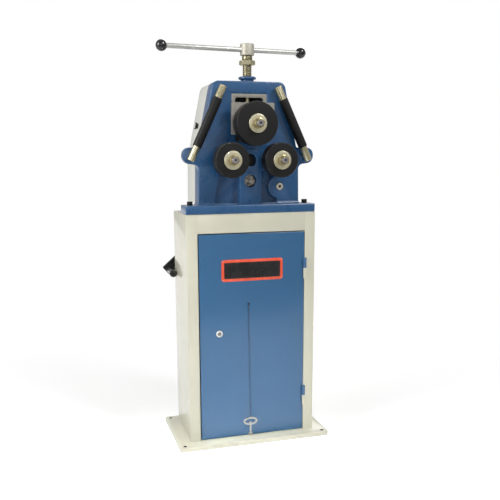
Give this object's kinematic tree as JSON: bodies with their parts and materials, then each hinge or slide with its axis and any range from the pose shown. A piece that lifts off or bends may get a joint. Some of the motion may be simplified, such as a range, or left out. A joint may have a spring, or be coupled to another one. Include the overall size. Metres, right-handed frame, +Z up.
{
  "type": "ring roller",
  "caption": "Manual ring roller: cast head with a screw-pressed top roll over two geared lower rolls, side guide rolls and a rear crank, on a sheet-metal cabinet with a locked door.",
  "frame": {"origin": "on the floor, under the centre of the base plate's underside", "axes": "+X to the machine's right as seen from its door, +Y to its back, +Z up"},
  "size_m": [0.5716, 0.3748, 1.342],
  "materials": {
    "cream_paint": "satin light grey-cream enamel",
    "blue_paint": "semi-gloss blue enamel",
    "black_oxide": "blackened steel, lightly oiled",
    "zinc_plate": "yellow zinc plating",
    "bright_steel": "machined, oiled",
    "bronze": "turned bronze",
    "black_plastic": "polished",
    "string": "thin twisted string"
  },
  "bodies": {
    "frame": {"base_plate": "cream_paint", "side_panel_left": "cream_paint", "side_panel_right": "cream_paint", "back_panel": "cream_paint", "top_panel": "cream_paint", "door_header": "cream_paint", "head_casting": "blue_paint", "flange_screw_left": "black_oxide", "flange_screw_right": "black_oxide", "press_nut": "bronze", "rear_plate": "bright_steel", "gear_cover": "cream_paint", "cover_screw_left": "black_oxide", "cover_screw_right": "black_oxide", "guide_rod_left": "zinc_plate", "guide_rod_right": "zinc_plate", "guide_bolt_left_upper": "zinc_plate", "guide_bolt_left_lower": "zinc_plate", "guide_bolt_right_upper": "zinc_plate", "guide_bolt_right_lower": "zinc_plate", "idler_stud": "bright_steel"},
    "door": {"door_panel": "blue_paint", "lock_barrel": "zinc_plate", "string_rivet": "black_oxide", "key_string": "string", "door_key": "bright_steel"},
    "lock": {"lock_plug": "zinc_plate", "lock_cam": "zinc_plate"},
    "sleeve_left": {"guide_sleeve_left": "black_oxide"},
    "sleeve_right": {"guide_sleeve_right": "black_oxide"},
    "roll_left": {"lower_shaft_left": "bright_steel", "lower_roll_left": "black_oxide", "lower_left_washer": "zinc_plate", "lower_left_nut": "zinc_plate", "roll_gear_left": "bright_steel"},
    "roll_right": {"lower_shaft_right": "bright_steel", "lower_roll_right": "black_oxide", "lower_right_washer": "zinc_plate", "lower_right_nut": "zinc_plate", "roll_gear_right": "bright_steel"},
    "roll_top": {"top_shaft": "bright_steel", "top_roll": "black_oxide", "top_washer": "zinc_plate", "top_nut": "zinc_plate"},
    "block": {"slide_block": "bright_steel", "block_keeper": "bright_steel"},
    "screw": {"press_screw": "zinc_plate"},
    "bar": {"tommy_bar": "bright_steel", "bar_ball_left": "black_plastic", "bar_ball_right": "black_plastic"},
    "screw_nut": {"lock_nut": "zinc_plate"},
    "lay": {"layshaft": "bright_steel", "layshaft_wheel": "bright_steel"},
    "idler": {"idler_gear": "bright_steel"},
    "crank": {"crank_shaft": "zinc_plate", "crank_pinion": "bright_steel", "crank_arm": "black_oxide", "grip_spindle": "bright_steel"},
    "grip": {"grip_sleeve": "bright_steel", "grip_cap": "black_plastic"}
  },
  "joints": [
    {"name": "door_swing", "type": "hinge", "parent": "frame", "child": "door", "pos_m": [0.1875, -0.11255, 0.35], "axis": [0, 0, 1], "range_deg": [0, 120]},
    {"name": "lock_turn", "type": "hinge", "parent": "door", "child": "lock", "pos_m": [-0.118, -0.097, 0.392], "axis": [0, 1, 0], "range_deg": [0, 90]},
    {"name": "sleeve_left_spin", "type": "hinge", "parent": "frame", "child": "sleeve_left", "pos_m": [-0.092, -0.0945, 1.206], "axis": [-0.4256, 0, -0.9049], "continuous": true},
    {"name": "sleeve_right_spin", "type": "hinge", "parent": "frame", "child": "sleeve_right", "pos_m": [0.092, -0.0945, 1.206], "axis": [0.4256, 0, -0.9049], "continuous": true},
    {"name": "crank_turn", "type": "hinge", "parent": "frame", "child": "crank", "pos_m": [0.10604, 0, 0.883], "axis": [0, 1, 0], "range_deg": [0, 290]},
    {"name": "layshaft_turn", "type": "hinge", "parent": "frame", "child": "lay", "pos_m": [0, 0, 0.9035], "axis": [0, 1, 0], "range_deg": [-208, 0]},
    {"name": "idler_turn", "type": "hinge", "parent": "frame", "child": "idler", "pos_m": [0, 0, 0.971], "axis": [0, 1, 0], "range_deg": [0, 104]},
    {"name": "roll_left_turn", "type": "hinge", "parent": "frame", "child": "roll_left", "pos_m": [-0.0825, 0, 0.971], "axis": [0, 1, 0], "range_deg": [-125, 0]},
    {"name": "roll_right_turn", "type": "hinge", "parent": "frame", "child": "roll_right", "pos_m": [0.0825, 0, 0.971], "axis": [0, 1, 0], "range_deg": [-125, 0]},
    {"name": "grip_spin", "type": "hinge", "parent": "crank", "child": "grip", "pos_m": [-0.2388, 0.11, 0.57855], "axis": [0, 1, 0], "continuous": true},
    {"name": "block_slide", "type": "slide", "parent": "frame", "child": "block", "axis": [0, 0, 1], "range_m": [-0.02, 0.018]},
    {"name": "roll_top_turn", "type": "hinge", "parent": "block", "child": "roll_top", "pos_m": [0, 0, 1.086], "axis": [0, 1, 0], "continuous": true},
    {"name": "screw_turn", "type": "hinge", "parent": "block", "child": "screw", "pos_m": [0, -0.0524, 1.135], "axis": [0, 0, 1], "range_deg": [-1199, 1079]},
    {"name": "bar_slide", "type": "slide", "parent": "screw", "child": "bar", "axis": [0.9952, 0.0976, 0], "range_m": [-0.153, 0.247]},
    {"name": "nut_run", "type": "slide", "parent": "screw", "child": "screw_nut", "axis": [0, 0, 1], "range_m": [-0.015, 0]}
  ],
  "couplings": [
    {"joint": "layshaft_turn", "follows": "crank_turn", "ratio": -0.71429},
    {"joint": "idler_turn", "follows": "crank_turn", "ratio": 0.35714},
    {"joint": "roll_left_turn", "follows": "crank_turn", "ratio": -0.42857},
    {"joint": "roll_right_turn", "follows": "crank_turn", "ratio": -0.42857},
    {"joint": "block_slide", "follows": "screw_turn", "m_per_rad": 0.00095493}
  ]
}
